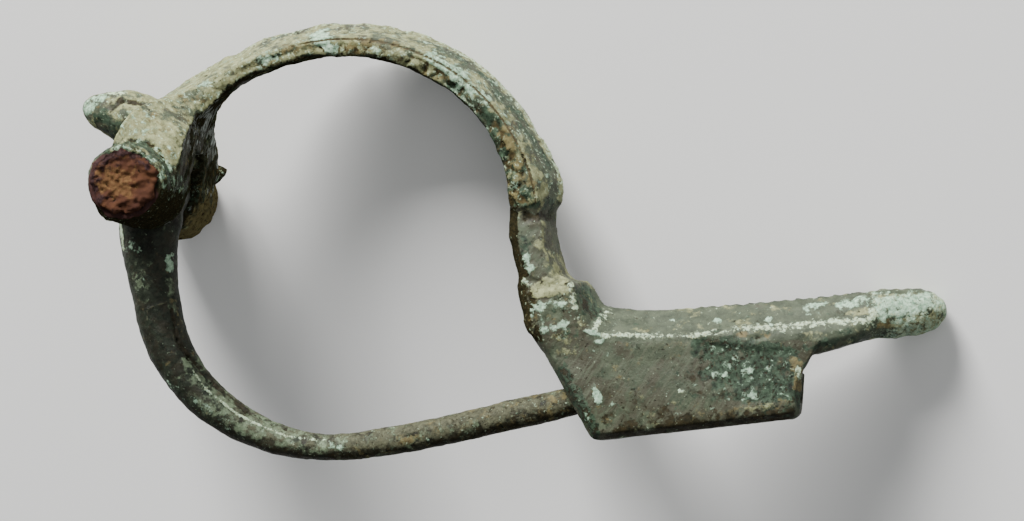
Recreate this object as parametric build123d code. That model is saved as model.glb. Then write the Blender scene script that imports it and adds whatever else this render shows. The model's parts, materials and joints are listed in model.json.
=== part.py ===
"""Hinged bow brooch: a cast bronze bow with its crossbar, knob, foot and folded pin catch, an iron
hinge axle rusted into the crossbar, and a thick bronze pin that turns on the axle and closes in
the catch. The brooch lies on its side, as it does when it is put down.

While it is modelled, x runs from the hinge to the foot, z from the pin up to the crown of the bow,
and y along the crossbar, away from the viewer. The hinge axis is the y axis. At the end every
piece is laid down with the far side under it, on the rim of the crossbar, the crown of the bow and
the end of the foot. All lengths are millimetres and all angles degrees.
"""
from build123d import *
from collections import namedtuple
from copy import copy
from math import cos, radians, sin, tan
import os

# Bow
bow_radius = 12.5
bow_thickness = 2.0
bow_width = 5.2
bow_ridge = 1.15
hinge_angle = 167.8
hinge_share = 1.0241
edge_bevel_height = 0.62
edge_bevel_depth = 0.40
line_width = 0.26
line_depth = 0.15

# Flared head of the bow, and the knob behind it
head_width = 15.6
knob_length = 4.0
knob_radius = 1.75
knob_place_angle = 151.5
knob_angle = 165.0

# Axle
axle_radius = 1.1
axle_fit = 0.03
axle_head_radius = 2.0
axle_head_depth = 2.2
axle_head_proud = 0.45

# Crossbar
crossbar_length = 21.0
crossbar_rim = 0.3
crossbar_step = 0.25
ring_count = 2
ring_pitch = 1.15
ring_width = 0.45
ring_depth = 0.18

# Eye of the pin
eye_wall = 1.0
eye_width = 3.2
eye_side_gap = 0.2
eye_top_gap = 0.25
eye_running_gap = 0.05

# Neck and knee
neck_width = 4.3
neck_thickness = 2.8
knee_angle = -7.6
knee_share = 1.4314
knee_radius = 3.2

# Foot and its finial
foot_length = 15.7
foot_rise = 1.06
foot_thickness = 2.95
foot_roof = 1.86
foot_width = 5.2
finial_length = 4.75
finial_radius = 1.52
finial_angle = 4.6

# Folded pin catch under the foot
catch_length = 13.1
catch_depth = 5.5
catch_setback = 1.94
catch_rise = 1.45
catch_lean_angle = 28.5
catch_splay = 0.22
catch_wall = 0.9
catch_floor = 0.95
catch_lip = 1.9
catch_gap = 0.3
catch_inset = 0.12
catch_corner = 0.7
catch_web = 1.1

# Pin
pin_thickness = 1.87
pin_floor_gap = 0.66

# How closely the resting surface is found
rest_tolerance = 0.02
rest_turns = 12

# What follows from these sizes
crossbar_end_radius = axle_head_radius + crossbar_rim
crossbar_radius = crossbar_end_radius + crossbar_step
eye_bore_radius = axle_radius + eye_running_gap
eye_radius = eye_bore_radius + eye_wall
channel_half = pin_thickness / 2 + catch_gap

# A section of the bow or neck: its angle round the bow's centre, the radius of its middle as a
# share of bow_radius, its thickness and width as shares of those of the bow or neck, how much of
# the way it has flared to head_width, its roof as a share of bow_ridge, and its engraved line as a
# share of line_depth.
Section = namedtuple("Section", "angle radius thick width flare roof line")
BOW_SECTIONS = [
    Section(angle=167, radius=1.008, thick=2.33, width=1.00, flare=1.00, roof=0.30, line=0.0),
    Section(angle=158, radius=1.021, thick=2.38, width=1.00, flare=1.00, roof=0.35, line=0.0),
    Section(angle=150, radius=1.038, thick=2.12, width=1.00, flare=0.88, roof=0.45, line=0.0),
    Section(angle=144, radius=1.047, thick=1.69, width=1.00, flare=0.45, roof=0.70, line=0.0),
    Section(angle=138, radius=1.042, thick=1.27, width=1.00, flare=0.10, roof=0.90, line=0.5),
    Section(angle=130, radius=1.032, thick=0.99, width=0.99, flare=0.00, roof=0.95, line=1.0),
    Section(angle=116, radius=1.009, thick=0.89, width=1.00, flare=0.00, roof=1.00, line=1.0),
    Section(angle=98, radius=0.996, thick=0.94, width=1.02, flare=0.00, roof=1.00, line=1.0),
    Section(angle=80, radius=0.992, thick=1.05, width=1.02, flare=0.00, roof=1.00, line=1.0),
    Section(angle=62, radius=0.993, thick=1.21, width=1.02, flare=0.00, roof=1.05, line=1.0),
    Section(angle=44, radius=0.996, thick=1.25, width=1.02, flare=0.00, roof=1.10, line=1.0),
    Section(angle=27, radius=0.997, thick=1.39, width=1.02, flare=0.00, roof=1.20, line=1.0),
    Section(angle=13, radius=0.998, thick=1.69, width=1.02, flare=0.00, roof=1.35, line=1.0),
    Section(angle=8, radius=0.991, thick=1.70, width=0.98, flare=0.00, roof=1.35, line=0.6),
]
SHOULDER_SECTIONS = [
    BOW_SECTIONS[-1],
    Section(angle=5.5, radius=0.966, thick=1.42, width=0.80, flare=0.00, roof=0.90, line=0.0),
]
NECK_SECTIONS = [
    Section(angle=10, radius=0.968, thick=0.99, width=1.00, flare=0.00, roof=0.80, line=0.0),
    Section(angle=3, radius=0.961, thick=1.05, width=1.00, flare=0.00, roof=0.80, line=0.0),
    Section(angle=-3, radius=0.967, thick=1.10, width=1.00, flare=0.00, roof=0.80, line=0.0),
    Section(angle=-9, radius=1.004, thick=1.21, width=1.02, flare=0.00, roof=0.85, line=0.0),
    Section(angle=-14, radius=1.055, thick=1.35, width=1.06, flare=0.00, roof=0.90, line=0.0),
]
HEAD_SECTION = BOW_SECTIONS[2]

# A section of the knee, on a plane through the knee's centre: its angle round that centre, the
# distance of its ridge from it as a share of knee_radius, and its thickness, width and roof as
# shares of the foot's.
KneeSection = namedtuple("KneeSection", "angle ridge thick width roof")
KNEE_SECTIONS = [
    KneeSection(angle=186, ridge=1.08, thick=1.15, width=0.83, roof=0.45),
    KneeSection(angle=194, ridge=0.98, thick=1.27, width=0.86, roof=0.15),
    KneeSection(angle=199, ridge=0.76, thick=1.52, width=1.00, roof=0.45),
    KneeSection(angle=212, ridge=0.70, thick=1.67, width=1.02, roof=0.68),
    KneeSection(angle=228, ridge=0.75, thick=1.71, width=1.02, roof=0.82),
    KneeSection(angle=240, ridge=0.82, thick=1.25, width=0.98, roof=0.90),
    KneeSection(angle=255, ridge=0.79, thick=1.05, width=0.98, roof=0.96),
    KneeSection(angle=270, ridge=0.78, thick=1.00, width=1.00, roof=1.00),
]

# A section of the foot: how far it is along foot_length, how much of foot_rise its ridge has
# risen, and its thickness, width and roof as shares of the foot's.
FootSection = namedtuple("FootSection", "along rise thick width roof")
FOOT_SECTIONS = [
    FootSection(along=0.00, rise=0.00, thick=1.00, width=1.00, roof=1.00),
    FootSection(along=0.10, rise=-0.12, thick=0.95, width=1.00, roof=0.98),
    FootSection(along=0.45, rise=0.24, thick=1.11, width=1.00, roof=1.10),
    FootSection(along=0.74, rise=0.60, thick=1.26, width=0.96, roof=1.22),
    FootSection(along=0.87, rise=0.82, thick=1.16, width=0.88, roof=1.22),
    FootSection(along=1.00, rise=1.00, thick=1.05, width=0.74, roof=1.02),
]

# A ring of the finial or the knob: how far it is along its length, and its radius as a share.
Ring = namedtuple("Ring", "along radius")
FINIAL_RINGS = [
    Ring(along=-0.22, radius=0.86),
    Ring(along=0.00, radius=0.98),
    Ring(along=0.14, radius=1.04),
    Ring(along=0.42, radius=1.00),
    Ring(along=0.68, radius=0.90),
    Ring(along=0.88, radius=0.62),
    Ring(along=0.97, radius=0.32),
]
KNOB_RINGS = [
    Ring(along=-0.40, radius=0.96),
    Ring(along=0.11, radius=1.00),
    Ring(along=0.24, radius=1.00),
    Ring(along=0.38, radius=0.93),
    Ring(along=0.52, radius=0.80),
    Ring(along=0.71, radius=0.66),
    Ring(along=0.82, radius=0.53),
    Ring(along=0.93, radius=0.34),
]

# A section of the pin: its place as shares of the way from the hinge to the catch's mouth, its
# size as a share of pin_thickness, and how much of the way it has grown to the eye, in the plane
# of the bow and along the crossbar.
PinSection = namedtuple("PinSection", "along drop size deep wide")
PIN_SECTIONS = [
    PinSection(along=0.000, drop=0.000, size=1.00, deep=0.73, wide=0.96),
    PinSection(along=-0.009, drop=0.212, size=1.00, deep=0.81, wide=0.93),
    PinSection(along=-0.005, drop=0.327, size=1.00, deep=0.65, wide=0.79),
    PinSection(along=0.004, drop=0.459, size=1.00, deep=0.51, wide=0.62),
    PinSection(along=0.020, drop=0.627, size=1.00, deep=0.45, wide=0.48),
    PinSection(along=0.060, drop=0.816, size=1.00, deep=0.37, wide=0.37),
    PinSection(along=0.125, drop=0.980, size=1.00, deep=0.28, wide=0.25),
    PinSection(along=0.221, drop=1.114, size=1.00, deep=0.15, wide=0.14),
    PinSection(along=0.320, drop=1.191, size=1.00, deep=0.00, wide=0.03),
    PinSection(along=0.420, drop=1.218, size=0.90, deep=0.00, wide=0.08),
    PinSection(along=0.539, drop=1.198, size=0.95, deep=0.00, wide=0.01),
    PinSection(along=0.753, drop=1.114, size=1.00, deep=0.00, wide=0.00),
    PinSection(along=0.978, drop=1.012, size=1.00, deep=0.00, wide=0.00),
    PinSection(along=1.129, drop=0.943, size=0.80, deep=0.00, wide=0.00),
    PinSection(along=1.217, drop=0.901, size=0.46, deep=0.00, wide=0.00),
    PinSection(along=1.254, drop=0.883, size=0.20, deep=0.00, wide=0.00),
]

# The angle of the z axis
UPWARD = 90.0


def toward(angle):
    """The direction at this angle, in the plane of the bow."""
    return Vector(cos(radians(angle)), 0, sin(radians(angle)))


bow_centre = -toward(hinge_angle) * (hinge_share * bow_radius)
knee_centre = bow_centre + toward(knee_angle) * (knee_share * bow_radius)


def upright_plane(origin, angle):
    """A plane that holds the y axis and the direction at this angle: local x is that direction,
    and local y is the crossbar's."""
    outward = toward(angle)
    return Plane(origin=origin, x_dir=outward, z_dir=outward.cross(Vector(0, 1, 0)))


def closed_face(plane, points):
    """The flat face with these corners, given in the plane's own x and y."""
    corners = [plane.from_local_coords(Vector(x, y, 0)) for x, y in points]
    return Face(Wire.make_polygon(corners, close=True))


def house_points(ridge, edge, inner, width, line=0):
    """Corners of a section like a house front: a flat inner face with bevelled edges, upright
    sides with an engraved line under the eaves, and a roof that meets at the ridge."""
    inward = -1 if ridge > inner else 1
    half = width / 2
    side = [
        (inner, half - edge_bevel_depth),
        (inner - inward * edge_bevel_height, half),
        (edge + inward * line_width, half),
        (edge + inward * line_width / 2, half - line),
        (edge, half),
    ]
    return side + [(ridge, 0)] + [(height, -across) for height, across in reversed(side)]


def bow_face(section, thickness, width):
    """The face of one section of the bow or neck."""
    middle = section.radius * bow_radius
    half = section.thick * thickness / 2
    points = house_points(
        middle + half,
        middle + half - section.roof * bow_ridge,
        middle - half,
        section.width * width + section.flare * (head_width - width),
        section.line * line_depth,
    )
    return closed_face(upright_plane(bow_centre, section.angle), points)


def loft_sections(faces, ruled=False):
    """One solid through these faces."""
    return Solid.make_loft([face.outer_wire() for face in faces], ruled)


def make_bow():
    """The arched bow from the crossbar to its shoulder, and the slimmer neck below it."""
    arch = [bow_face(section, bow_thickness, bow_width) for section in BOW_SECTIONS]
    shoulder = [bow_face(section, bow_thickness, bow_width) for section in SHOULDER_SECTIONS]
    neck = [bow_face(section, neck_thickness, neck_width) for section in NECK_SECTIONS]
    return [loft_sections(arch), loft_sections(shoulder, ruled=True), loft_sections(neck)]


def make_knee():
    """The bend from neck to foot, with the raised bead across its upper side."""
    faces = []
    for section in KNEE_SECTIONS:
        ridge = section.ridge * knee_radius
        points = house_points(
            ridge,
            ridge + section.roof * foot_roof,
            ridge + section.thick * foot_thickness,
            section.width * foot_width,
        )
        faces.append(closed_face(upright_plane(knee_centre, section.angle), points))
    return loft_sections(faces, ruled=True)


def foot_ridge(section):
    """How high the foot's ridge is over the knee's centre at this section."""
    return section.rise * foot_rise - KNEE_SECTIONS[-1].ridge * knee_radius


def foot_underside():
    """The height of the foot's underside, over the catch."""
    return knee_centre.Z + foot_ridge(FOOT_SECTIONS[0]) - foot_thickness


def make_foot():
    """The roofed foot, from the knee to the finial."""
    faces = []
    for section in FOOT_SECTIONS:
        start = knee_centre + Vector(section.along * foot_length, 0, 0)
        ridge = foot_ridge(section)
        points = house_points(
            ridge,
            ridge - section.roof * foot_roof,
            ridge - section.thick * foot_thickness,
            section.width * foot_width,
        )
        faces.append(closed_face(upright_plane(start, UPWARD), points))
    return loft_sections(faces)


def turned(rings, length, radius, origin, angle):
    """A round solid turned about the axis that leaves the origin at this angle, through these
    rings and closed by a dome."""
    plane = Plane(origin=origin, x_dir=toward(angle), z_dir=Vector(0, 1, 0))
    outline = [(ring.along * length, ring.radius * radius) for ring in rings]
    start = (outline[0][0], 0)
    tip = (length, 0)
    with BuildSketch(plane) as half:
        with BuildLine():
            Polyline(tip, start, outline[0])
            Spline(*outline, tip)
        make_face()
    return revolve(half.sketch, axis=Axis(origin, toward(angle)))


def make_finial():
    """The finger-shaped end of the foot."""
    end = FOOT_SECTIONS[-1]
    middle = foot_ridge(end) - end.thick * foot_thickness / 2
    origin = knee_centre + Vector(foot_length, 0, middle)
    return turned(FINIAL_RINGS, finial_length, finial_radius, origin, finial_angle)


def make_knob():
    """The stub that stands out behind the head of the bow."""
    level = HEAD_SECTION.radius * bow_radius + HEAD_SECTION.thick * bow_thickness / 2
    origin = bow_centre + toward(knob_place_angle) * level
    return turned(KNOB_RINGS, knob_length, knob_radius, origin, knob_angle)


def make_crossbar():
    """The crossbar with its ringed ends, before it is bored and slotted."""
    half = crossbar_length / 2
    shoulder = half - ring_pitch / 2
    profile = [(0, half), (crossbar_end_radius, half), (crossbar_end_radius, shoulder)]
    for ring in range(1, ring_count + 1):
        middle = half - ring_pitch * ring
        profile += [
            (crossbar_radius, middle + ring_width / 2),
            (crossbar_radius - ring_depth, middle),
            (crossbar_radius, middle - ring_width / 2),
        ]
    profile += [(radius, -along) for radius, along in reversed(profile)]
    face = Face(Wire.make_polygon([Vector(x, y, 0) for x, y in profile], close=True))
    return revolve(face, axis=Axis.Y)


def rod(radius, start, end):
    """A round rod along the hinge axis, from one y to another."""
    plane = Plane(origin=(0, start, 0), x_dir=(1, 0, 0), z_dir=(0, 1, 0))
    return extrude(plane * Circle(radius), end - start)


def on_both_ends(piece):
    """A piece of the crossbar's far end, and its mirror image at the near end."""
    return [piece, piece.mirror(Plane.XZ)]


def hinge_space():
    """What is taken out of the crossbar: the bore, the two mouths for the axle's heads, and the
    slot that the pin's eye turns in."""
    half = crossbar_length / 2
    bore = rod(axle_radius + axle_fit, -half, half)
    mouth = rod(axle_head_radius + axle_fit, half - axle_head_depth, half)
    top = eye_radius + eye_top_gap
    span = 2 * crossbar_radius
    slot = Box(2 * span, eye_width + 2 * eye_side_gap, span + top)
    return [bore, *on_both_ends(mouth), Pos(0, 0, (top - span) / 2) * slot]


def catch_corners():
    """The corners of the catch as seen from the side: lower left, lower right, the two ends of
    the web that joins its right edge to the foot, and the upper left inside the knee."""
    under = foot_underside()
    low_left = Vector(knee_centre.X - catch_setback, 0, under - catch_depth)
    low_right = low_left + Vector(catch_length, 0, catch_rise)
    web_low = Vector(low_right.X + catch_splay, 0, under - catch_web)
    web_high = Vector(web_low.X + catch_web, 0, under + catch_wall)
    return low_left, low_right, web_low, web_high, catch_left_edge(web_high.Z)


def catch_left_edge(height):
    """The point of the catch's leaning left edge at this height."""
    low_left = Vector(knee_centre.X - catch_setback, 0, foot_underside() - catch_depth)
    rise = height - low_left.Z
    return Vector(low_left.X - rise * tan(radians(catch_lean_angle)), 0, height)


def side_prism(points, near, far):
    """A prism with these corners in the plane of the bow, from one y to another."""
    corners = [Vector(point.X, near, point.Z) for point in points]
    return extrude(Face(Wire.make_polygon(corners, close=True)), far - near, (0, 1, 0))


def make_catch():
    """The plate under the foot, folded up along its lower edge to hold the pin."""
    near = catch_inset - foot_width / 2
    corners = catch_corners()
    plate = side_prism(corners, near, channel_half + catch_wall)
    corner_top = corners[1].Z + catch_corner
    lower = [edge for edge in plate.edges().filter_by(Axis.Y) if edge.center().Z < corner_top]
    plate = fillet(lower, catch_corner)
    outer = [edge for edge in plate.edges() if abs(edge.center().Y - near) < catch_inset]
    left_edge = min(outer, key=lambda edge: edge.center().X)
    return chamfer(left_edge, edge_bevel_depth, edge_bevel_height)


def catch_space():
    """What is taken out of the catch: the channel for the pin, open at both ends, and the gap
    over the lip that the pin is slipped in through."""
    low_left, low_right = catch_corners()[:2]
    beyond = low_right - low_left
    start = low_left - beyond + Vector(0, 0, catch_floor)
    end = low_right + beyond + Vector(0, 0, catch_floor)
    top = [Vector(end.X, 0, foot_underside()), Vector(start.X, 0, foot_underside())]
    channel = side_prism([start, end] + top, -channel_half, channel_half)
    lift = Vector(0, 0, catch_lip)
    gap = side_prism([start + lift, end + lift] + top, 0, crossbar_length)
    return [channel, gap]


def make_casting():
    """The whole cast piece: bow, crossbar, knob, neck, knee, foot, finial and catch."""
    pieces = [make_knob(), make_catch(), make_knee(), make_foot(), make_finial()]
    solid = make_crossbar().fuse(*pieces, *make_bow())
    for space in hinge_space() + catch_space():
        solid = solid.cut(space)
    return solid.clean()


def make_axle():
    """The iron rod through the hinge, swollen by rust into two heads that stand proud."""
    half = crossbar_length / 2
    core = rod(axle_radius, -half, half)
    head = rod(axle_head_radius, half - axle_head_depth + axle_fit, half + axle_head_proud)
    rim = [edge for edge in head.edges().filter_by(GeomType.CIRCLE) if edge.center().Y > half]
    head = fillet(rim, axle_head_proud / 2)
    return core.fuse(*on_both_ends(head)).clean()


def catch_mouth():
    """Where the middle of the pin passes the catch's left edge, just over the channel's floor."""
    floor = catch_corners()[0].Z + catch_floor
    return catch_left_edge(floor + pin_thickness / 2 + pin_floor_gap)


def make_pin():
    """The pin: an eye round the axle, a broad root that narrows round the bend, and a straight
    point that closes in the catch."""
    mouth = catch_mouth()
    places = [Vector(s.along * mouth.X, 0, s.drop * mouth.Z) for s in PIN_SECTIONS]
    faces = []
    for index, (place, section) in enumerate(zip(places, PIN_SECTIONS)):
        before = places[max(index - 1, 0)]
        after = places[min(index + 1, len(places) - 1)]
        along = (after - before).normalized()
        plane = Plane(origin=place, x_dir=along.cross(Vector(0, 1, 0)), z_dir=along)
        size = section.size * pin_thickness
        depth = size + section.deep * (2 * eye_radius - pin_thickness)
        width = size + section.wide * (eye_width - pin_thickness)
        faces.append((plane * Ellipse(depth / 2, width / 2)).face())
    eye = rod(eye_radius, -eye_width / 2, eye_width / 2)
    bore = rod(eye_bore_radius, -eye_width, eye_width)
    return eye.fuse(loft_sections(faces)).cut(bore).clean()


def farthest(points, direction):
    """The point that lies farthest in this direction."""
    return max(points, key=lambda point: point.dot(direction))


def resting_plane(solids):
    """The surface that the brooch lies on with its far side down: it touches the end of the
    crossbar, the arch of the bow and the foot. Each turn of the loop takes the lowest point of
    all three and lays the plane through them anew."""
    points = [point for solid in solids for point in solid.tessellate(rest_tolerance)[0]]
    ends = [point for point in points if point.Y > head_width / 2]
    arch = [p for p in points if 0 < p.Y < bow_width and min(p.X, p.Z) > crossbar_radius]
    foot = [point for point in points if point.Y > 0 and point.X > knee_centre.X]
    down = Vector(0, 1, 0)
    for _ in range(rest_turns):
        end, crown, tip = (farthest(group, down) for group in (ends, arch, foot))
        down = (tip - end).cross(crown - end).normalized()
        if down.Y < 0:
            down = -down
    return Plane(origin=end, x_dir=(tip - end).normalized(), z_dir=-down)


def laid_down(pieces):
    """All pieces turned onto that surface, with the middle of the brooch over the origin."""
    plane = resting_plane(pieces.values())
    lying = {name: plane.to_local_coords(piece) for name, piece in pieces.items()}
    box = Compound(children=[copy(piece) for piece in lying.values()]).bounding_box()
    shift = Vector(-box.center().X, -box.center().Y, -box.min.Z)
    for name, point in (("hinge centre", Vector(0, 0, 0)), ("one along hinge", Vector(0, 1, 0))):
        print(name, plane.to_local_coords(point) + shift)
    return {name: Pos(*shift) * piece for name, piece in lying.items()}


def make_brooch():
    """Every piece by name, as it lies."""
    return laid_down({"bow": make_casting(), "hinge_axle": make_axle(), "pin": make_pin()})


if __name__ == "__main__":
    os.makedirs("parts", exist_ok=True)
    for name, solid in make_brooch().items():
        export_step(solid, f"parts/{name}.step")
        print(name, len(solid.solids()), round(solid.volume, 1), solid.bounding_box())
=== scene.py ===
"""The finish of a hinged bow brooch: a corroded bronze casting with its patina, a rusted iron axle and
a bronze pin, on a pale studio floor.

Every piece is a copy of the node that it stands for. It is shaped in millimetres in the upright
frame: x from the hinge to the foot, y along the hinge axis and away from the camera, z up to the
crown of the bow, with the hinge at the origin. Then it is laid back where its node is.
"""
import json
from collections import namedtuple
from math import atan, cos, radians, sin

import bmesh
import bpy
import numpy as np
from mathutils import Matrix, Vector, noise


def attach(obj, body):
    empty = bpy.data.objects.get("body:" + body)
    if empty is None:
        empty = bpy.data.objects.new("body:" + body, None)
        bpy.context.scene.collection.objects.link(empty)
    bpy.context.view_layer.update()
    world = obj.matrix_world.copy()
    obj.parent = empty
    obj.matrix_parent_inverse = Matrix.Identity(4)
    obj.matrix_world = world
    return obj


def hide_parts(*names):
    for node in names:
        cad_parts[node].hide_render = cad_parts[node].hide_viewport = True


bl_info = {
    "name": "Bow brooch",
    "version": (1, 0, 0),
    "blender": (4, 5, 0),
    "location": "View3D > Sidebar > Brooch",
    "description": "Gives a hinged bow brooch its corroded surface, patina and rust",
    "category": "Object",
}

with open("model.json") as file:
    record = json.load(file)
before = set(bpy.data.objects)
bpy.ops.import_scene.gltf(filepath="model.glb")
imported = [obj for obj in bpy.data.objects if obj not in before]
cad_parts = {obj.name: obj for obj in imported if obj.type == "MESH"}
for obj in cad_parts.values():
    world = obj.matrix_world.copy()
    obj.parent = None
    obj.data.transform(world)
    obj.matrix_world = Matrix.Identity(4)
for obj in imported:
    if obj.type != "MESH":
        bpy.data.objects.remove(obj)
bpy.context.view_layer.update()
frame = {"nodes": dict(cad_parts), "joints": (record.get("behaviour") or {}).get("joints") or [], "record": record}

MM = 0.001
# How steeply the straight of the pin rises to the foot, in the upright frame
PIN_RISE = radians(13.83)
# Middle of the bow's arch and its mean radius
ARCH_MIDDLE = (12.5, -2.7)
ARCH_RADIUS = 12.4
# The most triangles that a finished piece has
MOST_TRIANGLES = 190000
# Rounds of smoothing for the joints of the casting, and for the form that hollows are measured from
SEAM_ROUNDS = 80
DEPTH_ROUNDS = 12
# The swells and the grit are this much lower on the pin
PIN_SWELL = 0.6
PIN_GRIT = 0.7
# How much of the other crusts a full mark takes away
MARK_CLEARS = 0.85


def upright_frame():
    """The matrix from metres as the brooch lies to millimetres in the upright frame."""
    hinge = frame["joints"][0]
    away = -Vector(hinge["axis"]).normalized()
    run = Vector(frame["record"]["mounts"][0]["axis"]).normalized()
    lift = run.cross(away)
    footward = run * cos(PIN_RISE) - lift * sin(PIN_RISE)
    crownward = run * sin(PIN_RISE) + lift * cos(PIN_RISE)
    turn = Matrix((footward, away, crownward)).to_4x4()
    return Matrix.Scale(1 / MM, 4) @ turn @ Matrix.Translation(-Vector(hinge["pos_m"]))


TO_UPRIGHT = upright_frame()
# From the upright frame back to metres, as the brooch lies
TO_LYING = TO_UPRIGHT.inverted()


def linear(code):
    """A hex colour as linear red, green, blue and alpha."""
    parts = [int(code[i:i + 2], 16) / 255 for i in (1, 3, 5)]
    curve = [p / 12.92 if p <= 0.04045 else ((p + 0.055) / 1.055) ** 2.4 for p in parts]
    return (*curve, 1.0)


def length(label, default, description):
    """A size in millimetres that the panel shows."""
    return bpy.props.FloatProperty(name=label, default=default, min=0.0, description=description)


def colour(label, code, description):
    """A colour that the panel shows."""
    shown = dict(name=label, subtype="COLOR", description=description)
    return bpy.props.FloatVectorProperty(default=linear(code), size=4, min=0.0, max=1.0, **shown)


class BroochRelief(bpy.types.PropertyGroup):
    """Sizes of the corroded surface, in millimetres."""

    casting_cell: length("Casting mesh", 0.125, "Edge of one face of the casting")
    pin_cell: length("Pin mesh", 0.1, "Edge of one face of the pin")
    axle_cell: length("Axle mesh", 0.085, "Edge of one face of the axle")
    swell_size: length("Swell", 1.7, "Width of the soft swells of the corroded surface")
    swell_height: length("Swell height", 0.08, "Height of the soft swells")
    grit_size: length("Grit", 0.5, "Width of the small lumps of patina")
    grit_height: length("Grit height", 0.05, "Height of the small lumps")
    streak_height: length("Streak height", 0.06, "Height of the streaks in the hollow head")
    bead_size: length("Bead", 1.05, "Length of one worn bead on the sides of the bow")
    bead_depth: length("Bead depth", 0.2, "Depth of the creases between the beads")
    edge_fill: length("Edge fill", 0.32, "How full the near lower edge of the arch is")
    mouth_fill: length("Mouth fill", 0.16, "How far rust closes the near mouth of the crossbar")
    groove_depth: length("Groove depth", 0.1, "Extra depth of the line under the bow's roof")
    ridge_wear: length("Ridge wear", 0.12, "Height of the dents along the ridge of the bow")
    notch_pitch: length("Notch pitch", 0.77, "From notch to notch along the ridge of the foot")
    notch_depth: length("Notch depth", 0.06, "Depth of the notches")
    band_pitch: length("Band pitch", 2.6, "From ridge to ridge round the near arm of the crossbar")
    band_height: length("Band height", 0.1, "Height of those ridges")
    arm_crust: length("Arm crust", 0.16, "Thickness of the soil on the far arm of the crossbar")
    arm_lumps: length("Arm lumps", 0.25, "Height of the lumps on the far arm")
    rust_size: length("Rust lump", 0.75, "Width of the lumps of rust")
    rust_height: length("Rust height", 0.26, "Height of the lumps of rust")
    rust_waste: length("Rust waste", 0.12, "How much the rim of the axle's near head has rusted away")


class BroochColours(bpy.types.PropertyGroup):
    """Colours of the patinas, soil and rust."""

    taupe: colour("Taupe", "#434337", "Smooth brown-grey skin of the bronze")
    umber: colour("Umber", "#323125", "Browner parts of the skin")
    # Painted shade: this very dark skin tone darkens the upper part of the pin, which lies in shade
    shaded_dusk: colour("Dusk", "#181812", "Darkest skin, on the upper part of the pin")
    olive: colour("Olive", "#4a5140", "Olive-grey skin of the bronze")
    lichen: colour("Lichen", "#6b7a60", "Light green-grey skin in the bend of the pin")
    sage: colour("Sage", "#30362a", "Darker olive skin")
    cream: colour("Cream", "#53553a", "Cream crust")
    bone: colour("Bone", "#8a8d69", "Lightest cream crust")
    sand: colour("Sand", "#51523f", "Beige of the pin's straight part")
    drab: colour("Drab", "#323226", "Darker beige")
    mint: colour("Mint", "#a9c2a8", "Pale mint crust")
    verdigris: colour("Verdigris", "#5c7760", "Duller green of the mint crust")
    frost: colour("Frost", "#b0b8b3", "Bluish-white bloom in the streaks")
    green: colour("Deep green", "#3f4f3e", "Dark green patina in the pits")
    black: colour("Green-black", "#11150e", "Deepest creases")
    ochre: colour("Ochre", "#6d6746", "Ochre soil")
    clay: colour("Clay", "#4a412b", "Redder soil")
    soil: colour("Soil", "#332d1d", "Dark brown soil")
    rust_yellow: colour("Rust yellow", "#5e482f", "Lightest rust in the middle of the axle")
    rust_orange: colour("Rust orange", "#432c1e", "Bright rust in the middle of the axle")
    rust_red: colour("Rust red", "#39251f", "Red-brown rust")
    rust_purple: colour("Rust purple", "#3a2b2b", "Purple-brown rust at the rim")
    rust_dark: colour("Rust dark", "#0f0906", "Rust in the hollows")
    floor: colour("Floor", "#f4f3f0", "Pale studio floor")
    sky: colour("Sky", "#e9edf0", "Soft light from all round")


class BroochView(bpy.types.PropertyGroup):
    """Where the camera stands, in the upright frame."""

    azimuth: bpy.props.FloatProperty(
        name="Azimuth",
        default=radians(5.0),
        subtype="ANGLE",
        description="How far the camera stands round from square on to the side",
    )
    elevation: bpy.props.FloatProperty(
        name="Elevation",
        default=radians(-2.2),
        subtype="ANGLE",
        description="How far the camera stands above the hinge axis",
    )
    distance: length("Distance", 285.0, "From the camera to the plane of the hinge")
    rightward: length("Right of hinge", 23.0, "From the hinge to the middle of the picture")
    downward: length("Below hinge", 4.46, "From the hinge down to the middle of the picture")
    picture_width: length("Picture width", 65.64, "What the picture is across, at the hinge")


# A coat of patina: the mask that it follows, its two tones, the width of its grain in millimetres,
# how much the grain breaks its edge up, how far it stands out, how many times longer than wide its
# grain is, and how that grain leans from the x axis in degrees.
Coat = namedtuple("Coat", "mask light dark grain spread proud long lean", defaults=(1.0, 33.0))
# How far each grain is rolled about its long way, so that no pattern lies square to the brooch
GRAIN_ROLL = radians(38.0)
# From pattern to pattern of the coats, in metres, so that no two are alike
COAT_SHIFT = 0.01
# Over these values of its noise a coat comes to cover, or its dark tone turns light
FADE = (0.34, 0.66)
# How many times finer than a coat's patches its speckle is
SPECKLE = 1.9
# Width of the clouds of the skin's two tones, in millimetres
CLOUD_SIZE = 1.3
# Depth of the grain that shows as bump, in millimetres, and its strength
BUMP_DEPTH = 0.07
BUMP_STRENGTH = 0.7
# Shine of the bare skin
SKIN_SHINE = 0.25
# Where a Mix node takes its two tones and gives what they make
FIRST, SECOND, MIXED = 6, 7, 2


def sizes():
    """The sizes of the relief."""
    return bpy.context.scene.brooch_relief


def colours():
    """The colours of the finish."""
    return bpy.context.scene.brooch_colours


def smooth(low, high, value):
    """0 below low, 1 above high, and a soft step between them."""
    share = np.clip((value - low) / (high - low), 0, 1)
    return share * share * (3 - 2 * share)


def fade(low, high, value):
    """1 below low, 0 above high, and a soft step between them."""
    return 1 - smooth(low, high, value)


def around(middle, width, value):
    """1 at the middle, falling off to 0 over this width on both sides."""
    return np.exp(-(((value - middle) / width) ** 2))


def lumps(points, size, octaves=2, shift=0.0):
    """Soft noise from about -1 to 1, with lumps of this size. Another shift gives others."""
    return np.array([noise.fractal(Vector(p), 1.0, 2.0, octaves) for p in points / size + shift])


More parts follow.
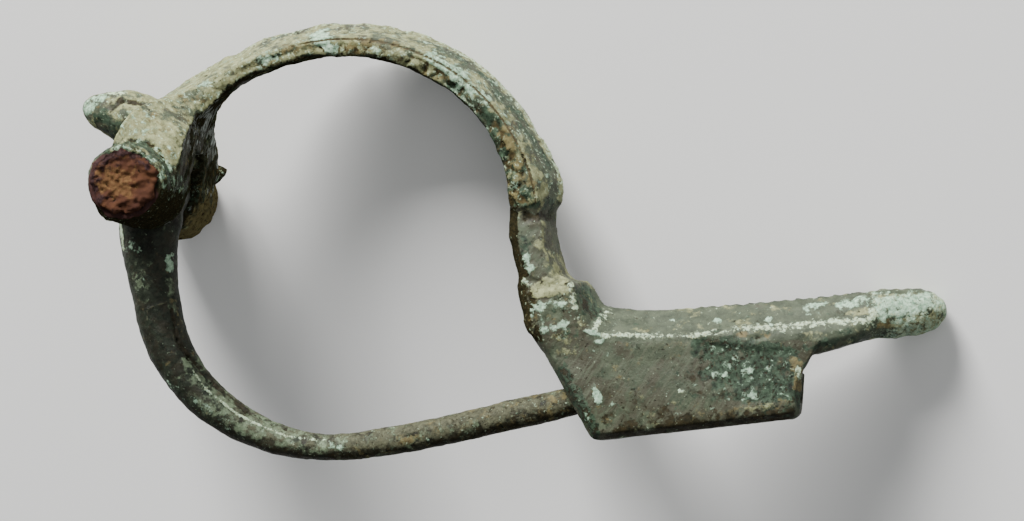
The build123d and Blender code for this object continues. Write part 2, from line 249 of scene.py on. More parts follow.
def cells(points, size, shift=0.0):
    """How far each point is from the nearest border between cells of this size, from 0 at the
    border, and a random number from 0 to 1 for its cell."""
    gaps = []
    tints = []
    for point in points / size + shift:
        away, middles = noise.voronoi(Vector(point))
        gaps.append(away[1] - away[0])
        tints.append(noise.cell(middles[0] * 9.0))
    return np.array(gaps), np.array(tints)


def streaks(places, lean, long, fine, shift):
    """Noise drawn out along this lean from the x axis, in degrees."""
    turn = radians(lean)
    along = places[:, 0] * cos(turn) + places[:, 2] * sin(turn)
    across = places[:, 2] * cos(turn) - places[:, 0] * sin(turn)
    drawn = np.column_stack((along / long, across / fine, places[:, 1] / long))
    return lumps(drawn, 1.0, 2, shift)


def vertex_places(mesh):
    """The vertices' places, and the directions that the surface faces there."""
    places = np.empty(len(mesh.vertices) * 3, np.float32)
    mesh.vertices.foreach_get("co", places)
    facing = np.empty(len(mesh.vertices) * 3, np.float32)
    mesh.vertex_normals.foreach_get("vector", facing)
    return places.reshape(-1, 3).astype(float), facing.reshape(-1, 3).astype(float)


def fine_copy(node, name, cell):
    """A copy of a node in the upright frame, with its corners merged and its surface made of even
    faces with this edge."""
    form = bmesh.new()
    form.from_mesh(frame["nodes"][node].data)
    bmesh.ops.remove_doubles(form, verts=form.verts, dist=0.001 * MM)
    bmesh.ops.transform(form, matrix=TO_UPRIGHT, verts=form.verts)
    mesh = bpy.data.meshes.new(name)
    form.to_mesh(mesh)
    form.free()
    piece = bpy.data.objects.new(name, mesh)
    bpy.context.scene.collection.objects.link(piece)
    even = piece.modifiers.new("Even faces", "REMESH")
    even.mode = "VOXEL"
    even.voxel_size = cell
    even.use_smooth_shade = True
    keep_shape(piece)
    return piece


def keep_shape(piece):
    """Makes what the modifiers show the piece's own mesh."""
    graph = bpy.context.evaluated_depsgraph_get()
    mesh = bpy.data.meshes.new_from_object(piece.evaluated_get(graph))
    piece.modifiers.clear()
    piece.data = mesh


def raise_surface(piece, relief):
    """Moves each vertex out along its normal by what relief says for it."""
    places, facing = vertex_places(piece.data)
    places += facing * relief(places, facing)[:, None]
    piece.data.vertices.foreach_set("co", places.astype(np.float32).ravel())
    piece.data.update()


def soften(piece, seams):
    """Smooths the surface at the vertices in the seams."""
    chosen = np.flatnonzero(seams(vertex_places(piece.data)[0]))
    form = bmesh.new()
    form.from_mesh(piece.data)
    form.verts.ensure_lookup_table()
    verts = [form.verts[index] for index in chosen]
    for _ in range(SEAM_ROUNDS):
        bmesh.ops.smooth_vert(
            form, verts=verts, factor=0.5, use_axis_x=True, use_axis_y=True, use_axis_z=True
        )
    form.to_mesh(piece.data)
    form.free()
    piece.data.update()


def thin_out(piece):
    """Takes out the faces that the shape needs least, where there are too many."""
    triangles = sum(len(face.vertices) - 2 for face in piece.data.polygons)
    if triangles > MOST_TRIANGLES:
        fewer = piece.modifiers.new("Fewer faces", "DECIMATE")
        fewer.ratio = MOST_TRIANGLES / triangles
        keep_shape(piece)


def depth_below(mesh):
    """How deep each vertex lies below the surface round it, in millimetres: less than 0 on edges and
    lumps."""
    places, facing = vertex_places(mesh)
    ends = np.empty(len(mesh.edges) * 2, np.int32)
    mesh.edges.foreach_get("vertices", ends)
    one, other = ends.reshape(-1, 2).T
    total = len(places)
    beside = np.bincount(one, minlength=total) + np.bincount(other, minlength=total)
    calm = places.copy()
    for _ in range(DEPTH_ROUNDS):
        for axis in range(3):
            summed = np.bincount(one, calm[other, axis], total)
            summed += np.bincount(other, calm[one, axis], total)
            calm[:, axis] = summed / np.maximum(beside, 1)
    return ((calm - places) * facing).sum(axis=1)


def put_masks(piece, masks):
    """Writes each mask on the mesh as an attribute that the material reads."""
    places, facing = vertex_places(piece.data)
    for name, amounts in masks(places, facing, depth_below(piece.data)).items():
        layer = piece.data.attributes.new(name, "FLOAT", "POINT")
        layer.data.foreach_set("value", np.clip(amounts, 0, 1).astype(np.float32))


def settle(piece, node, body, material):
    """Lays a finished piece where its node is, in its place, with nothing of it below the floor."""
    piece.data.transform(TO_LYING)
    places, _ = vertex_places(piece.data)
    places[:, 2] = np.maximum(places[:, 2], 0)
    piece.data.vertices.foreach_set("co", places.astype(np.float32).ravel())
    piece.data.polygons.foreach_set("use_smooth", [True] * len(piece.data.polygons))
    piece.data.materials.clear()
    piece.data.materials.append(material)
    piece.data.update()
    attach(piece, body)
    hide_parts(node)


def add(tree, kind, links=(), **settings):
    """Adds a node with these settings. A link's value is a socket to join or a value to set."""
    made = tree.nodes.new("ShaderNode" + kind)
    for name, value in settings.items():
        setattr(made, name, value)
    for socket, value in dict(links).items():
        if isinstance(value, bpy.types.NodeSocket):
            tree.links.new(value, made.inputs[socket])
        else:
            made.inputs[socket].default_value = value
    return made


def layered_material(name, skin, coats, gloss, grit):
    """A surface of patina in coats over a skin of two tones. Each coat lies where its mask on the
    mesh and a noise say so, stands proud or lies deep, and has two tones of its own. The skin is
    glossier than the crusts, by these two roughnesses, and what is dry has no shine."""
    material = bpy.data.materials.new(name)
    material.use_nodes = True
    tree = material.node_tree
    tree.nodes.clear()
    place = add(tree, "TexCoord").outputs["Object"]
    output = add(tree, "OutputMaterial")
    dry = add(tree, "Attribute", attribute_name="dry").outputs["Fac"]
    shine = add(tree, "MapRange", {"Value": dry, "To Min": SKIN_SHINE, "To Max": 0.0})
    surface = add(
        tree, "BsdfPrincipled", {"Metallic": 0.0, "Specular IOR Level": shine.outputs["Result"]}
    )
    tree.links.new(surface.outputs["BSDF"], output.inputs["Surface"])

    cloud = add(
        tree,
        "TexNoise",
        {"Vector": place, "Scale": 1 / (CLOUD_SIZE * MM), "Detail": 8.0, "Roughness": 0.65},
    )
    share = add(
        tree, "MapRange", {"Value": cloud.outputs["Fac"], "From Min": 0.36, "From Max": 0.64}
    ).outputs["Result"]
    tone = add(
        tree, "Mix", {"Factor": share, FIRST: skin[0], SECOND: skin[1]}, data_type="RGBA"
    ).outputs[MIXED]
    grains = add(
        tree, "TexNoise", {"Vector": place, "Scale": 1 / (grit * MM), "Detail": 8.0, "Roughness": 0.7}
    )
    height = grains.outputs["Fac"]
    for count, coat in enumerate(coats, 1):
        mask = add(tree, "Attribute", attribute_name=coat.mask).outputs["Fac"]
        lean = TO_LYING.to_3x3().normalized() @ Matrix.Rotation(-radians(coat.lean), 3, "Y")
        lean = lean @ Matrix.Rotation(GRAIN_ROLL, 3, "X")
        drawn = add(
            tree,
            "Mapping",
            {"Vector": place, "Rotation": lean.to_euler(), "Location": (COAT_SHIFT * count,) * 3,
             "Scale": (coat.grain * coat.long * MM, coat.grain * MM, coat.grain * MM)},
            vector_type="TEXTURE",
        ).outputs["Vector"]
        patchy = add(
            tree, "TexNoise", {"Vector": drawn, "Scale": 1.0, "Detail": 7.0, "Roughness": 0.66}
        )
        swing = add(
            tree, "Math", {0: patchy.outputs["Fac"], 1: coat.spread, 2: mask}, operation="MULTIPLY_ADD"
        )
        low, high = (edge + coat.spread / 2 for edge in FADE)
        amount = add(
            tree,
            "MapRange",
            {"Value": swing.outputs["Value"], "From Min": low, "From Max": high},
            interpolation_type="SMOOTHSTEP",
        ).outputs["Result"]
        speckle = add(
            tree, "TexNoise", {"Vector": drawn, "Scale": SPECKLE, "Detail": 6.0, "Roughness": 0.7}
        )
        tint = add(
            tree,
            "MapRange",
            {"Value": speckle.outputs["Fac"], "From Min": FADE[0], "From Max": FADE[1]},
        ).outputs["Result"]
        own = add(
            tree, "Mix", {"Factor": tint, FIRST: coat.dark, SECOND: coat.light}, data_type="RGBA"
        ).outputs[MIXED]
        tone = add(
            tree, "Mix", {"Factor": amount, FIRST: tone, SECOND: own}, data_type="RGBA"
        ).outputs[MIXED]
        height = add(
            tree, "Math", {0: amount, 1: coat.proud, 2: height}, operation="MULTIPLY_ADD"
        ).outputs["Value"]
    tree.links.new(tone, surface.inputs["Base Color"])
    bump = add(
        tree, "Bump", {"Height": height, "Distance": BUMP_DEPTH * MM, "Strength": BUMP_STRENGTH}
    )
    tree.links.new(bump.outputs["Normal"], surface.inputs["Normal"])
    rough = add(
        tree,
        "MapRange",
        {"Value": height, "From Min": 0.4, "From Max": 1.3, "To Min": gloss[0], "To Max": gloss[1]},
    )
    tree.links.new(rough.outputs["Result"], surface.inputs["Roughness"])
    return material


def round_arch(places):
    """Each place's angle round the middle of the arch, in degrees from the foot's side, and its
    distance from that middle."""
    along = places[:, 0] - ARCH_MIDDLE[0]
    height = places[:, 2] - ARCH_MIDDLE[1]
    return np.degrees(np.arctan2(height, along)), np.hypot(along, height)


def on_arch(places):
    """1 on the arched part of the bow, between its head and its shoulder."""
    angle, radius = round_arch(places)
    span = smooth(6, 9, angle) * fade(136, 144, angle)
    return span * smooth(9.5, 10, radius) * fade(15.2, 15.6, radius)


def groove_radius(angle):
    """How far the engraved line under the roof is from the middle of the arch."""
    angles = (8, 13, 44, 98, 116, 130, 138)
    return np.interp(angle, angles, (12.4, 12.46, 12.3, 12.11, 12.22, 12.67, 12.85))


def beaded(places, facing):
    """The worn beads on the sides of the arch: how far each place is from the creases between them,
    from 0 in a crease, each bead's random number, and how much the place belongs to a bead."""
    angle, radius = round_arch(places)
    side = smooth(0.5, 0.8, np.abs(facing[:, 1])) * on_arch(places)
    side *= fade(-0.45, -0.1, radius - groove_radius(angle))
    warp = 0.4 * lumps(places, 0.9, 2, 31.0)
    along = np.radians(angle) * ARCH_RADIUS + warp
    flat = np.column_stack((along, radius * 0.7 + warp, np.sign(facing[:, 1]) * 7))
    gap, tint = cells(flat, sizes().bead_size)
    worn = smooth(-0.55, 0.15, lumps(places, 2.2, 2, 17.0))
    return gap, tint, side * worn


def engraved_line(places, facing):
    """1 along the bottom of the engraved line."""
    angle, radius = round_arch(places)
    side = smooth(0.35, 0.7, np.abs(facing[:, 1])) * on_arch(places)
    side *= 1 - 0.85 * smooth(96, 114, angle)
    return side * around(0, 0.1, radius - groove_radius(angle))


def mark_shares(places, marks):
    """How much of each mark lies at each place on the near side: 1 along its middle line, falling
    off softly to 0 past its ragged edge."""
    ragged = 0.55 * lumps(places, 0.5, 3, 21.0)
    near = fade(-0.7, 0.0, places[:, 1])
    for mark in marks:
        start = np.array((mark.x, mark.z))
        run = np.array((mark.to_x, mark.to_z)) - start
        flat = places[:, (0, 2)] - start
        share = np.clip(flat @ run / max(run @ run, 1e-9), 0, 1)
        off = np.linalg.norm(flat - share[:, None] * run, axis=1)
        yield mark, near * fade(0.2, 1.5, off / mark.width + ragged)


def marked_relief(places, marks):
    """How far the marks stand out of the surface or sink into it."""
    relief = np.zeros(len(places))
    for mark, share in mark_shares(places, [mark for mark in marks if mark.rise]):
        relief += mark.rise * share
    return relief


def add_marks(masks, places, marks):
    """Lays the marks' coats where the marks are, and takes the other crusts away there."""
    for mark, share in mark_shares(places, marks):
        for coat in masks:
            if coat in CRUSTS and coat != mark.coat:
                masks[coat] *= 1 - MARK_CLEARS * share * mark.amount
        masks[mark.coat] = masks[mark.coat] * (1 - share) + mark.amount * share
    return masks


def zone_weights(places, facing):
    """How much each place belongs to each zone of the casting, by limits in millimetres and, round
    the arch, in degrees."""
    angle, radius = round_arch(places)
    x, y, z = places.T
    arch = on_arch(places)
    under_roof = radius - groove_radius(angle)
    inward = facing[:, 0] * (ARCH_MIDDLE[0] - x) + facing[:, 2] * (ARCH_MIDDLE[1] - z)
    inner = smooth(0.5, 0.8, inward / np.maximum(radius, 1))
    bar = fade(2.55, 3.0, np.hypot(x, z))
    head = (smooth(134, 141, angle) + smooth(-178, -177, -angle)) * smooth(8.5, 9.5, radius)
    head = np.clip(head, 0, 1) * (1 - bar) * fade(4.5, 7.0, x) * smooth(-1, 0, z)
    back = smooth(2.2, 2.8, x) * fade(2.2, 3.2, z) * smooth(-2.4, -1.6, y)
    hollow = np.maximum(inner, back)
    foot = smooth(27.5, 28.5, x)
    plate = smooth(24, 25, x) * fade(-9.95, -9.5, z)
    neck = smooth(19, 21, x) * fade(6, 9, angle) * smooth(-6.8, -6.2, z)
    knee = smooth(22, 23, x) * fade(-6.8, -6.2, z) * (1 - foot) * (1 - plate)
    finial = smooth(45.4, 46.2, x)
    bevel = foot * (1 - plate) * (1 - finial)
    return {
        "roof": arch * smooth(-0.15, 0.1, under_roof) * (1 - inner),
        "side": arch * fade(-0.15, 0.1, under_roof) * (1 - inner),
        "inner": arch * inner,
        "head": head * (1 - hollow),
        "hollow_head": head * hollow,
        "near_ring": bar * fade(-4.0, -2.5, y),
        "mid_bar": bar * smooth(-4.0, -2.5, y) * fade(1.5, 3, y),
        "far_arm": bar * smooth(1.5, 3, y),
        "knob": fade(-0.6, 0.2, x) * smooth(2.6, 3.2, z) * (1 - head),
        "neck": neck,
        "knee": knee,
        "bevel": bevel,
        "plate": plate * (1 - finial),
        "finial": finial,
    }


# How thickly each coat lies in each zone: 0 is bare, 0.5 half covered and 1 covered
Zone = namedtuple("Zone", "olive cream mint green ochre soil streak fleck pit")
ZONES = {
    "roof": Zone(0.6, 0.64, 0.16, 0.12, 0.04, 0.05, 0.0, 0.16, 0.1),
    "side": Zone(0.6, 0.66, 0.26, 0.14, 0.3, 0.1, 0.0, 0.25, 0.1),
    # Painted shade: the dark soil, green and pit of the inner faces stand in for the shade inside the arch
    "inner": Zone(0.3, 0.1, 0.0, 0.6, 0.15, 0.6, 0.0, 0.0, 0.35),
    "head": Zone(0.6, 0.68, 0.2, 0.14, 0.18, 0.03, 0.0, 0.14, 0.1),
    # Painted shade: the soil, green and pit of the hollow head stand in for the shade in it; its pale streaks are
    # bloom
    "hollow_head": Zone(0.45, 0.12, 0.0, 0.4, 0.2, 0.52, 0.0, 0.0, 0.32),
    "near_ring": Zone(0.3, 0.05, 0.08, 0.85, 0.08, 0.25, 0.0, 0.05, 0.3),
    # Painted shade: the soil and pit of the middle of the crossbar stand in for the shade in the slot round the
    # pin's eye
    "mid_bar": Zone(0.3, 0.1, 0.1, 0.7, 0.1, 0.6, 0.0, 0.0, 0.4),
    "far_arm": Zone(0.4, 0.25, 0.0, 0.1, 0.8, 0.28, 0.0, 0.0, 0.2),
    "knob": Zone(0.8, 0.62, 0.38, 0.12, 0.1, 0.06, 0.0, 0.3, 0.1),
    "neck": Zone(0.4, 0.15, 0.02, 0.12, 0.0, 0.12, 0.45, 0.04, 0.08),
    "knee": Zone(0.45, 0.3, 0.16, 0.25, 0.15, 0.2, 0.1, 0.1, 0.12),
    "bevel": Zone(0.9, 0.08, 0.0, 0.12, 0.05, 0.0, 0.1, 0.05, 0.02),
    "plate": Zone(0.35, 0.0, 0.0, 0.15, 0.08, 0.15, 0.4, 0.03, 0.08),
    "finial": Zone(0.8, 0.6, 0.54, 0.1, 0.15, 0.03, 0.0, 0.42, 0.05),
}

# The coats that hide what lies below them
CRUSTS = ("cream", "soil", "ochre", "mint", "fleck")

# A mark on the near side: which coat it is of, from where to where its middle line goes, half its
# width, how thick the coat is on it, and how far it stands out if it does.
Mark = namedtuple("Mark", "coat x z to_x to_z width amount rise", defaults=(0.0,))
CASTING_MARKS = [Mark(*row) for row in (
    ("mint", 10.9, 9.7, 11.8, 9.0, 0.55, 1.0, 0.05),
    ("mint", 7.4, 8.0, 8.3, 8.6, 0.4, 0.5, 0.03),
    ("mint", 3.6, 6.6, 4.4, 7.2, 0.3, 0.4, 0.03),
    ("mint", 18.0, 8.4, 19.8, 7.2, 0.5, 0.6, 0.03),
    ("mint", 19.8, 7.2, 21.6, 5.6, 0.5, 0.6, 0.03),
    ("mint", 22.6, 4.6, 23.0, 3.4, 0.35, 0.45, 0.03),
    ("green", 21.7, 4.6, 22.8, 2.6, 0.6, 0.7),
    ("ochre", 22.9, 3.4, 24.5, 0.2, 0.6, 0.6),
    ("cream", 17.0, 8.3, 18.0, 7.5, 0.3, 0.6),
    ("ochre", 13.2, 9.3, 15.8, 9.0, 0.45, 0.5),
    ("ochre", 9.0, 8.7, 10.2, 9.0, 0.45, 0.5),
    ("cream", 12.0, 9.3, 13.0, 9.3, 0.4, 0.8),
    # Painted shadow under the shoulder: green and soil at the top of the neck, over a shallow groove
    ("green", 24.0, -0.9, 25.8, -1.0, 0.6, 0.58),
    ("soil", 24.2, -1.9, 25.6, -1.8, 0.35, 0.75, -0.12),
    ("green", 24.1, -3.3, 24.2, -4.0, 0.4, 0.6),
    ("mint", 24.2, -4.7, 24.4, -5.1, 0.4, 0.75, 0.05),
    ("fleck", 24.1, -5.9, 24.4, -6.2, 0.25, 0.75, 0.05),
    ("cream", 24.9, -6.6, 26.4, -6.2, 0.6, 0.95, 0.05),
    ("fleck", 27.05, -6.2, 27.3, -7.6, 0.24, 0.58, 0.05),
    ("mint", 24.7, -7.7, 26.3, -7.4, 0.45, 0.65, 0.05),
    ("mint", 25.4, -9.0, 26.6, -8.6, 0.4, 0.6, 0.04),
    ("olive", 25.7, -8.1, 26.1, -8.0, 0.5, 0.95, 0.03),
    ("ochre", 25.7, -8.2, 26.0, -8.1, 0.4, 0.5),
    ("soil", 24.4, -7.1, 26.8, -7.1, 0.12, 0.3, -0.04),
    # Painted shade on the knee's right facet: green and soil
    ("green", 27.8, -6.5, 28.5, -8.1, 0.55, 0.85),
    ("soil", 27.8, -7.2, 28.3, -8.2, 0.3, 0.5),
    ("fleck", 29.4, -7.5, 28.5, -8.9, 0.26, 0.56, 0.05),
    ("mint", 27.8, -9.05, 28.9, -9.35, 0.18, 0.8, 0.05),
    ("fleck", 28.9, -9.4, 35.0, -9.42, 0.19, 0.6, 0.05),
    ("mint", 28.7, -9.7, 28.9, -9.75, 0.22, 0.7, 0.03),
    ("fleck", 34.8, -9.4, 37.2, -9.1, 0.24, 0.64, 0.06),
    ("cream", 36.8, -9.05, 40.2, -8.85, 0.3, 0.7, 0.06),
    ("fleck", 37.2, -9.0, 39.6, -8.85, 0.24, 0.6, 0.06),
    ("fleck", 39.5, -8.9, 45.9, -8.35, 0.28, 0.62, 0.05),
    ("mint", 39.4, -8.3, 39.6, -8.8, 0.2, 0.6, 0.03),
    ("ochre", 37.5, -9.35, 38.1, -9.3, 0.22, 0.8, -0.1),
    ("ochre", 38.4, -9.5, 39.4, -9.4, 0.24, 0.85, -0.12),
    ("soil", 38.7, -9.55, 39.2, -9.5, 0.1, 0.6, -0.05),
    ("mint", 36.1, -8.4, 36.3, -8.45, 0.2, 0.85, 0.04),
    ("mint", 33.2, -8.35, 33.4, -8.4, 0.12, 0.75, 0.03),
    ("mint", 42.0, -7.5, 43.1, -6.9, 0.5, 0.72, 0.05),
    ("mint", 44.0, -7.5, 45.3, -7.1, 0.4, 0.66, 0.05),
    ("soil", 43.3, -7.9, 44.2, -7.9, 0.25, 0.5, -0.03),
    ("cream", 44.6, -8.1, 46.0, -7.9, 0.3, 0.55, 0.04),
    ("green", 42.4, -9.9, 45.6, -9.35, 0.5, 0.5),
    ("mint", 47.0, -7.8, 49.2, -7.2, 0.7, 0.75, 0.03),
    ("olive", 46.4, -6.6, 49.4, -6.2, 0.4, 0.9),
    ("fleck", 50.2, -6.6, 50.9, -7.4, 0.3, 0.7, 0.03),
    ("soil", 49.4, -8.0, 50.4, -8.3, 0.3, 0.36, -0.04),
    ("fleck", 45.9, -7.9, 46.1, -8.1, 0.2, 0.85, 0.06),
    ("ochre", 46.2, -8.9, 46.9, -8.6, 0.45, 0.6, -0.03),
    ("green", 46.2, -9.5, 47.2, -9.3, 0.4, 0.5),
    ("green", 26.5, -11.6, 28.5, -15.5, 0.5, 0.8),
    ("pit", 26.5, -11.6, 28.5, -15.5, 0.4, 0.45, -0.04),
    ("mint", 27.2, -12.6, 28.2, -14.8, 0.2, 0.4, 0.03),
    ("mint", 28.6, -12.75, 28.75, -13.4, 0.3, 0.85, 0.05),
    ("mint", 29.5, -13.8, 29.7, -13.7, 0.15, 0.6, 0.03),
    ("fleck", 31.8, -15.2, 32.0, -15.15, 0.14, 0.85, 0.03),
    ("fleck", 33.9, -12.9, 34.1, -12.85, 0.12, 0.75, 0.02),
    ("fleck", 30.1, -15.8, 30.5, -15.8, 0.1, 0.65, 0.02),
    ("green", 35.2, -10.2, 41.0, -10.4, 0.6, 0.75),
    ("green", 37.0, -11.3, 40.6, -12.6, 2.0, 0.85, -0.05),
    ("pit", 36.8, -10.8, 40.6, -12.8, 1.8, 0.32, -0.04),
    ("mint", 36.0, -10.8, 40.4, -11.2, 1.0, 0.26, 0.03),
    ("mint", 36.6, -13.0, 40.2, -12.9, 0.9, 0.2, 0.03),
    ("mint", 36.0, -11.9, 36.8, -11.8, 0.2, 0.7, 0.04),
    ("mint", 37.9, -11.7, 38.3, -11.6, 0.18, 0.75, 0.04),
    ("mint", 38.0, -13.1, 38.6, -13.2, 0.22, 0.75, 0.04),
    ("mint", 40.2, -13.1, 40.6, -13.2, 0.2, 0.7, 0.04),
    ("ochre", 36.6, -14.1, 40.9, -13.6, 0.4, 0.55, 0.03),
    ("cream", 38.0, -14.0, 40.6, -13.6, 0.25, 0.5, 0.03),
    ("soil", 29.5, -15.6, 40.8, -14.4, 0.6, 0.62),
    ("soil", 34.6, -12.0, 36.4, -13.4, 0.8, 0.35),
    ("ochre", 41.1, -11.0, 41.4, -12.6, 0.45, 0.7, 0.03),
    ("fleck", 41.2, -11.4, 41.4, -12.0, 0.18, 0.7, 0.03),
    ("olive", 29.6, -11.6, 34.0, -10.4, 1.1, 0.75),
    ("ochre", 30.0, -12.0, 33.4, -10.6, 0.9, 0.2),
    ("mint", -4.3, 5.1, -3.4, 6.0, 0.6, 0.62, 0.03),
    # Painted highlight on the top of the knob
    ("fleck", -2.9, 6.4, -1.8, 6.2, 0.2, 0.75, 0.03),
    ("cream", -1.4, 5.6, -0.4, 5.2, 0.3, 0.8),
    # Painted shade on the lower half of the knob
    ("green", -3.4, 4.5, -1.7, 3.5, 0.8, 0.75),
    ("soil", -2.4, 5.2, -1.8, 5.75, 0.2, 0.8, -0.12),
    ("soil", -1.8, 5.75, -0.2, 5.3, 0.2, 0.65, -0.08),
    ("ochre", 1.6, 3.6, 3.0, 5.6, 0.6, 0.35),
    ("soil", 3.45, 4.4, 3.4, 3.0, 0.2, 0.75, -0.12),
    ("soil", 3.4, 3.0, 3.0, 0.2, 0.18, 0.75, -0.12),
)]

# A drop of crust on the crossbar: its place, its radius and how far it stands out
Drop = namedtuple("Drop", "x y z radius rise")
DROPS = [
    Drop(2.6, 8.0, 1.5, 0.48, 1.4),
    Drop(-1.1, -10.0, -2.1, 0.4, 0.35),
    Drop(-1.6, -9.4, -1.8, 0.3, 0.2),
]

# Pale blooms in the hollow head: the middle of each across and up, and how far it reaches
BLOOMS = ((4.0, 4.6, 1.0), (3.3, 3.9, 0.6), (2.8, 2.7, 0.75))


def drop_share(places, drop):
    """1 along the middle of a drop, which points away from the hinge axis, and 0 beside it."""
    base = np.array((drop.x, drop.y, drop.z))
    out = base * (1, 0, 1) / np.hypot(drop.x, drop.z)
    off = places - base
    along = off @ out
    beside = np.linalg.norm(off - along[:, None] * out, axis=1)
    return around(0, drop.radius, beside) * (along > -drop.radius)


def fuller_edge(places):
    """How full the near lower edge of the arch is between its crown and the head: 1 at the edge, 0
    at the engraved line and under the middle of the bow."""
    angle, radius = round_arch(places)
    span = smooth(58, 78, angle) * fade(136, 144, angle) * smooth(9.5, 10, radius)
    near = fade(-2.4, -0.6, places[:, 1])
    return span * near * smooth(0.05, 0.6, groove_radius(angle) - radius)


def casting_seams(places):
    """Where the neck runs into the knee and the foot into the plate and the finial, with no step
    between them."""
    x, _, z = places.T
    neck = (x > 21.4) & (x < 24.1 - 0.19 * (z + 3.8)) & (z > -8.4) & (z < -3.2)
    joint = (x > 24.0) & (x < 35.0) & (z > -10.7) & (z < -9.2)
    tip = (x > 45.1) & (x < 47.4) & (z < -7.7)
    return neck | joint | tip


def arm_bands(places):
    """The soft ridges round the near arm of the crossbar: 1 along each ridge, 0 between them."""
    turn = places[:, 1] / sizes().band_pitch + 0.25 * lumps(places, 1.6, 2, 61.0)
    return 0.5 + 0.5 * np.cos(2 * np.pi * turn)


def facing_hinge(places, facing):
    """How squarely each place faces the hinge axis, up to 1."""
    x, _, z = places.T
    return -(facing[:, 0] * x + facing[:, 2] * z) / np.maximum(np.hypot(x, z), 0.1)


def casting_relief(places, facing):
    """How far the corroded surface of the casting stands out."""
    size = sizes()
    zones = zone_weights(places, facing)
    x, y, z = places.T
    calm = 1 - 0.6 * np.maximum(zones["plate"], zones["bevel"])
    relief = size.swell_height * lumps(places, size.swell_size) * calm
    relief += size.grit_height * lumps(places, size.grit_size, 3, 5.0) * calm
    gap, _, bead = beaded(places, facing)
    relief -= size.bead_depth * bead * fade(0.0, 0.5, gap)
    relief -= size.groove_depth * engraved_line(places, facing)
    ridge = zones["roof"] * around(0, 0.7, y)
    relief += ridge * size.ridge_wear * lumps(places, 1.5, 2, 12.0)
    notch = around(0, 0.5, y) * smooth(33, 35, x) * smooth(-8.4, -7.6, z)
    relief -= notch * size.notch_depth * (0.5 + 0.5 * np.cos(2 * np.pi * x / size.notch_pitch))
    relief += zones["near_ring"] * size.band_height * (arm_bands(places) - 0.5)
    arm = zones["far_arm"]
    relief += arm * (size.arm_crust + size.arm_lumps * lumps(places, 1.2, 3, 8.0))
    relief += size.streak_height * zones["hollow_head"] * streaks(places, 60, 1.6, 0.35, 43.0)
    relief += size.edge_fill * fuller_edge(places)
    mouth = smooth(0.3, 0.7, facing_hinge(places, facing)) * fade(-9.9, -9.6, y) * (x < 4)
    relief += size.mouth_fill * mouth
    for drop in DROPS:
        relief += drop.rise * drop_share(places, drop)
    return relief + marked_relief(places, CASTING_MARKS)


def lay(masks, share, **amounts):
    """Adds to each coat this amount times share, or takes it off."""
    for coat, amount in amounts.items():
        masks[coat] += amount * share


